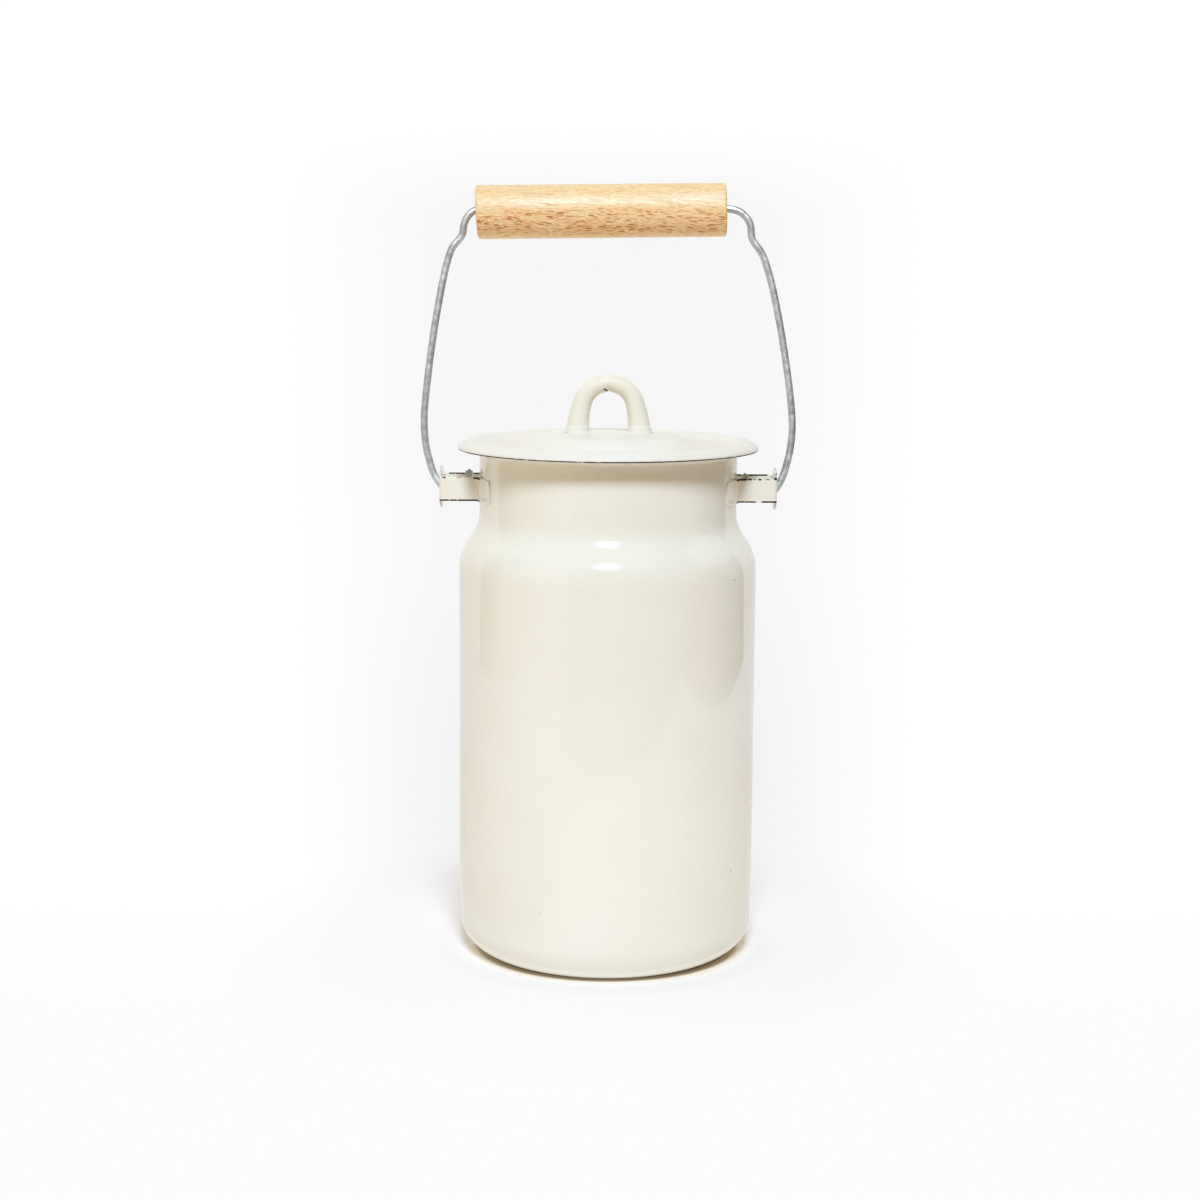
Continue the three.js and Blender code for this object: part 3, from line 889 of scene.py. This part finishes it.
# --------------------------------------------------------------------- bail
def bail_wire():
    line = evenly(catmull(WIRE, 16), 0.8)
    sides = 24
    verts, rings = [], []
    n = len(line)
    for i, q in enumerate(line):
        a, b = line[max(i - 1, 0)], line[min(i + 1, n - 1)]
        dx, dz = b[0] - a[0], b[1] - a[1]
        m = math.hypot(dx, dz)
        nx, nz = -dz / m, dx / m
        # hand-bent wire is never quite round or straight
        r = WIRE_R * (1 + 0.012 * noise.noise(Vector((q[0] * 0.35, 1.3, q[1] * 0.35))))
        row = []
        for k in range(sides):
            t = 2 * math.pi * k / sides
            row.append(len(verts))
            u, v = r * math.cos(t), r * math.sin(t)
            verts.append((q[0] + u * nx, v, q[1] + u * nz))
        rings.append(row)
    faces = []
    for a, b in zip(rings, rings[1:]):
        for k in range(sides):
            j = (k + 1) % sides
            faces.append((a[k], a[j], b[j], b[k]))
    # the ends are nipped off with cutters, which leaves a roof-shaped tip
    for row, outward in ((rings[0], -1), (rings[-1], 1)):
        i = 0 if outward < 0 else n - 1
        q, p = line[i], line[i + (1 if outward < 0 else -1)]
        dx, dz = q[0] - p[0], q[1] - p[1]
        m = math.hypot(dx, dz)
        tx, tz = dx / m, dz / m
        for k in row:
            x, y, z = verts[k]
            u = abs((x - q[0]) * tz - (z - q[1]) * tx)
            back = u * 0.95
            verts[k] = (x - tx * back, y, z - tz * back)
        ridge = []
        half = sides // 4
        # vertices with no in-plane offset lie on the ridge: k = half and 3 * half
        a, b = row[half], row[3 * half]
        one = row[half : 3 * half + 1]
        two = row[3 * half :] + row[: half + 1]
        faces.append(tuple(one))
        faces.append(tuple(two))
    ob = add_object("bail", verts, faces, galvanised)
    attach(ob, "bail")
    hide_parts("bail_wire")
    return ob


def wood_grip():
    h = GRIP_LENGTH / 2
    profile = []

    def end(sign):
        """From the bore out to the side, for one end."""
        q = [(GRIP_BORE_R, -3.0), (GRIP_BORE_R, -0.9), (GRIP_BORE_R + 0.06, -0.45), (GRIP_BORE_R + 0.22, -0.15), (GRIP_BORE_R + 0.5, -0.02)]
        q += [(4.2, 0.0), (6.0, 0.0), (8.2, 0.0), (GRIP_R - 1.15, -0.01)]
        q += [(GRIP_R - 1.0 + 1.0 * math.sin(math.radians(a)), -1.0 + 1.0 * math.cos(math.radians(a))) for a in (9, 22, 35, 48, 60, 70, 80, 90)]
        q += [(GRIP_R, -1.4)]
        return [(r, sign * (h + x)) for r, x in q]

    left, right = end(-1), end(1)
    middle = [(GRIP_R, -h + 3.0 + (GRIP_LENGTH - 6.0) * i / 40) for i in range(41)]
    bore = [(GRIP_BORE_R, h - 10 - (GRIP_LENGTH - 20) * i / 12) for i in range(13)]
    profile = left + middle + list(reversed(right)) + bore
    segments = 120
    verts, faces = turned(profile, segments, closed=True)
    c, s = math.cos(GRIP_TILT), math.sin(GRIP_TILT)
    out = []
    for x, y, z in verts:
        # the lathe's axis becomes the X axis
        lx, ly, lz = z, y, -x
        r = math.hypot(ly, lz)
        if r > GRIP_R - 0.3:
            k = 1 + 0.0022 * noise.noise(Vector((lx * 0.06, ly * 0.1, lz * 0.1)))
            ly, lz = ly * k, lz * k
        # both ends were sawn a little out of square
        lx -= (0.036 if lx < 0 else 0.008) * lz * min(1.0, abs(lx) / 30)
        out.append((GRIP_AT[0] + c * lx - s * lz, GRIP_AT[1] + ly, GRIP_AT[2] + s * lx + c * lz))
    ob = add_object("grip_roll", out, faces, beech)
    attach(ob, "grip")
    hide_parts("wood_grip")
    return ob


can_body()
lid_shell()
lid_collar()
lid_loop()
ear(-1)
ear(1)
bail_wire()
wood_grip()


# ------------------------------------------------------------ floor and light
# The studio as the can sees it, in sectors round it: up to which angle (degrees
# from the front, positive towards +X), then the light near the horizon and the
# light at about 35 degrees up. A white sheet stands behind, a pale wall on the
# left, and the right is darker low down.
SECTORS = [
    (-112.0, (1.000, 1.000, 0.980), (0.985, 0.930, 0.850)),
    (-92.0, (0.349, 0.296, 0.100), (0.500, 0.470, 0.420)),
    (-30.0, (0.795, 0.649, 0.477), (0.300, 0.300, 0.280)),
    (40.0, (0.281, 0.190, 0.060), (0.140, 0.120, 0.101)),
    (85.0, (0.368, 0.231, 0.136), (0.120, 0.100, 0.080)),
    (127.0, (0.040, 0.030, 0.020), (0.900, 0.840, 0.700)),
    (180.0, (0.860, 0.880, 0.880), (0.905, 0.830, 0.720)),
]
CEILING = (0.260, 0.220, 0.160, 1.0)
SHEET_LIGHT = (1.044, 0.987, 0.944, 1.0)
SHEET_GLOSS = (0.860, 0.920, 1.000, 1.0)
PAPER = (0.990, 0.950, 0.935, 1.0)
# painted shadow round the can's foot, from its darkest to its pale fringe
CONTACT_SHADOW = (0.155, 0.104, 0.058, 1.0)
SHADED = (0.370, 0.285, 0.180, 1.0)
HALF_SHADED = (0.850, 0.765, 0.655, 1.0)
SHADOW_FRINGE = (0.930, 0.890, 0.875, 1.0)


def room_colour(nt, x, y, height):
    """The light from the direction x, y: height 1 is low, 2 is higher up."""
    turn = calc(nt, "MULTIPLY", calc(nt, "ARCTAN2", x, calc(nt, "MULTIPLY", y, -1.0)), 57.29578)
    tone = SECTORS[0][height] + (1.0,)
    for i in range(1, len(SECTORS)):
        start = SECTORS[i - 1][0]
        tone = blend(nt, ramp(nt, turn, start - 0.5, start + 0.5), tone, SECTORS[i][height] + (1.0,))
    return tone


def backdrop(nt, across, shaded):
    """What the camera sees behind: white, a little shaded in the middle."""
    return blend(nt, ramp(nt, across, 0.45, 1.5), shaded, (1.0, 1.0, 1.0, 1.0))


def level_colour(nt, level):
    n = nt.nodes.new("ShaderNodeCombineColor")
    for socket in n.inputs[:3]:
        nt.links.new(level, socket)
    return n.outputs[0]


def plain_floor():
    """A white sheet on a pale floor, which keeps an even tone further off, a little shaded behind the can. Near the can
    it carries a painted shadow, and rays other than the camera's see much of it glow with painted light in place of
    being lit.
    """
    mesh = bpy.data.meshes.new("floor")
    s = 20.0
    mesh.from_pydata([(-s, -s, -0.00005), (s, -s, -0.00005), (s, s, -0.00005), (-s, s, -0.00005)], [], [(0, 1, 2, 3)])
    floor = bpy.data.objects.new("floor", mesh)
    bpy.context.scene.collection.objects.link(floor)
    mat = bpy.data.materials.new("floor_painted_shadow_and_glow")
    mat.use_nodes = True
    nt = mat.node_tree
    nt.nodes.clear()
    p = object_place(nt)
    out_from = vec(nt, "LENGTH", vec(nt, "MULTIPLY", p, (1.0, 1.0, 0.0)))
    split = nt.nodes.new("ShaderNodeSeparateXYZ")
    nt.links.new(p, split.inputs[0])
    x, y = split.outputs[0], split.outputs[1]
    sheet = ramp(nt, y, -0.395, -0.375)
    sheet = calc(nt, "MULTIPLY", sheet, ramp(nt, x, 0.557, 0.563, 1.0, 0.0))
    sheet = calc(nt, "MULTIPLY", sheet, ramp(nt, x, -0.640, -0.630))
    rays = nt.nodes.new("ShaderNodeLightPath")
    # painted light: rays other than the camera's see the sheet and the room round it as a glow, bluer in reflections
    sheet_glow = blend(nt, rays.outputs["Is Glossy Ray"], SHEET_LIGHT, SHEET_GLOSS)
    room = blend(nt, sheet, room_colour(nt, x, y, 1), sheet_glow)
    wide = calc(nt, "ADD", calc(nt, "MULTIPLY", calc(nt, "MAXIMUM", y, 0.0), 0.105), 0.09)
    shaded = blend(nt, ramp(nt, y, 0.15, 1.2), (0.875, 0.875, 0.878, 1.0), (0.922, 0.922, 0.922, 1.0))
    seen = backdrop(nt, calc(nt, "DIVIDE", calc(nt, "ABSOLUTE", x), wide), shaded)
    seen = blend(nt, ramp(nt, y, -0.10, 0.10), (0.975, 0.975, 0.975, 1.0), seen)

    def shader(kind, colour):
        n = nt.nodes.new(kind)
        put(nt, n.inputs["Color"], colour)
        return n.outputs[0]

    def mixed(factor, one, two):
        n = nt.nodes.new("ShaderNodeMixShader")
        put(nt, n.inputs[0], factor)
        nt.links.new(one, n.inputs[1])
        nt.links.new(two, n.inputs[2])
        return n.outputs[0]

    # close to the can the camera sees the floor lit and shaded by the lamp and the can, over a painted shadow set by
    # distance from the can's axis: dark at its foot, then tan, then a pale fringe, reaching a little further out on the
    # +X side
    edge = calc(nt, "SUBTRACT", out_from, calc(nt, "MAXIMUM", ramp(nt, x, 0.0, 0.050, 0.0, 0.0027), ramp(nt, x, -0.050, 0.0, 0.0020, 0.0)))
    painted_shadow_tint = blend(nt, ramp(nt, edge, 0.0481, 0.0506), CONTACT_SHADOW, SHADED)
    painted_shadow_tint = blend(nt, ramp(nt, edge, 0.0510, 0.0535), painted_shadow_tint, HALF_SHADED)
    painted_shadow_tint = blend(nt, ramp(nt, edge, 0.0533, 0.0575), painted_shadow_tint, SHADOW_FRINGE)
    painted_shadow_tint = blend(nt, ramp(nt, edge, 0.0575, 0.0750), painted_shadow_tint, PAPER)
    near = shader("ShaderNodeBsdfDiffuse", painted_shadow_tint)
    # painted bounce light: to diffuse rays the floor near the can glows, brighter just beside the can, dimmer a little
    # further out, darker right at its foot and bluer close in
    level = calc(nt, "ADD", ramp(nt, out_from, 0.052, 0.074, 1.18, 0.82), ramp(nt, out_from, 0.08, 0.14, 0.0, 0.18))
    level = calc(nt, "MULTIPLY", level, ramp(nt, out_from, 0.049, 0.058, 0.55, 1.0))
    tone = blend(nt, ramp(nt, out_from, 0.056, 0.085), (1.010, 1.045, 1.060, 1.0), SHEET_LIGHT)
    light = blend(nt, 1.0, level_colour(nt, level), tone, "MULTIPLY")
    near = mixed(rays.outputs["Is Diffuse Ray"], near, shader("ShaderNodeEmission", light))
    # further off, rays other than the camera's see the floor only as a glow of the room's or the sheet's light
    far = mixed(ramp(nt, out_from, 0.28, 0.50), near, shader("ShaderNodeEmission", room))
    plain = mixed(ramp(nt, out_from, 0.058, 0.17), near, shader("ShaderNodeEmission", seen))
    out = nt.nodes.new("ShaderNodeOutputMaterial")
    nt.links.new(mixed(rays.outputs["Is Camera Ray"], far, plain), out.inputs["Surface"])
    mat.cycles.emission_sampling = "NONE"
    mesh.materials.append(mat)


def studio():
    world = bpy.data.worlds.new("studio")
    bpy.context.scene.world = world
    world.use_nodes = True
    nt = world.node_tree
    nt.nodes.clear()
    way = nt.nodes.new("ShaderNodeTexCoord").outputs["Generated"]
    split = nt.nodes.new("ShaderNodeSeparateXYZ")
    nt.links.new(way, split.inputs[0])
    x, y, z = split.outputs
    up = calc(nt, "MULTIPLY", calc(nt, "ARCSINE", z), 57.29578)
    light = blend(nt, ramp(nt, up, 15.0, 25.0), room_colour(nt, x, y, 1), room_colour(nt, x, y, 2))
    light = blend(nt, ramp(nt, up, 45.0, 55.0), light, CEILING)
    wide = calc(nt, "MULTIPLY", calc(nt, "MAXIMUM", y, 0.001), 0.105)
    seen = backdrop(nt, calc(nt, "DIVIDE", calc(nt, "ABSOLUTE", x), wide), (0.922, 0.922, 0.922, 1.0))
    seen = blend(nt, ramp(nt, up, 0.4, 3.2), seen, (1.0, 1.0, 1.0, 1.0))
    rays = nt.nodes.new("ShaderNodeLightPath")
    bg = nt.nodes.new("ShaderNodeBackground")
    nt.links.new(blend(nt, rays.outputs["Is Camera Ray"], light, seen), bg.inputs["Color"])
    out = nt.nodes.new("ShaderNodeOutputWorld")
    nt.links.new(bg.outputs[0], out.inputs["Surface"])

    # a round softbox in front of the can and above the camera, dimmer at its edge
    softbox("softbox", 10.4, 10.6, 47.8, 2.5, 42.6, (0.822, 0.970, 1.130), 0.24, "diffuse")
    # its reflection: strong on the wood and the wire, faint and soft on the enamel
    gleam = softbox("softbox_gleam", 10.4, 8.3, 46.5, 0.0, 150.0, (0.93, 1.0, 1.06), 0.10, "glossy")
    dull = bpy.data.collections.new("wood_and_wire")
    for name in ("bail", "grip_roll"):
        dull.objects.link(bpy.data.objects[name])
    gleam.light_linking.receiver_collection = dull
    gleam.data.cycles.max_bounces = 0
    softbox("softbox_sheen", 12.6, 9.6, 44.6, -0.4, 2.75, (0.80, 0.98, 1.60), 0.30, "glossy")


def softbox(name, half_x, half_y, up, turn, radiance, colour, full, kind):
    """An elliptical lamp whose light fades out from the share full of its width."""
    key = bpy.data.lights.new(name, "AREA")
    key.shape = "ELLIPSE"
    away, aim = 2.5, Vector((0.0, -0.02, 0.15))
    key.size = 2 * away * math.tan(math.radians(half_x))
    key.size_y = 2 * away * math.tan(math.radians(half_y))
    elevation, azimuth = math.radians(up), math.radians(turn)
    ob = bpy.data.objects.new(name, key)
    bpy.context.scene.collection.objects.link(ob)
    d = Vector((math.sin(azimuth) * math.cos(elevation), -math.cos(azimuth) * math.cos(elevation), math.sin(elevation)))
    ob.location = aim + d * away
    ob.rotation_euler = d.to_track_quat("Z", "Y").to_euler()
    key.energy = radiance * math.pi * math.pi * key.size * key.size_y / 4
    key.color = colour
    key.use_nodes = True
    lt = key.node_tree
    lt.nodes.clear()
    spot = lt.nodes.new("ShaderNodeNewGeometry").outputs["Parametric"]
    off = vec(lt, "DISTANCE", spot, (0.5, 0.5, 0.0))
    shine = lt.nodes.new("ShaderNodeEmission")
    lt.links.new(ramp(lt, off, full, 0.50, 1.0, 0.03), shine.inputs["Strength"])
    end = lt.nodes.new("ShaderNodeOutputLight")
    lt.links.new(shine.outputs[0], end.inputs["Surface"])
    ob.visible_camera = False
    ob.visible_diffuse = kind == "diffuse"
    ob.visible_glossy = kind == "glossy"
    return ob


plain_floor()
studio()
bpy.context.scene.view_settings.view_transform = "Standard"
bpy.context.scene.view_settings.look = "None"
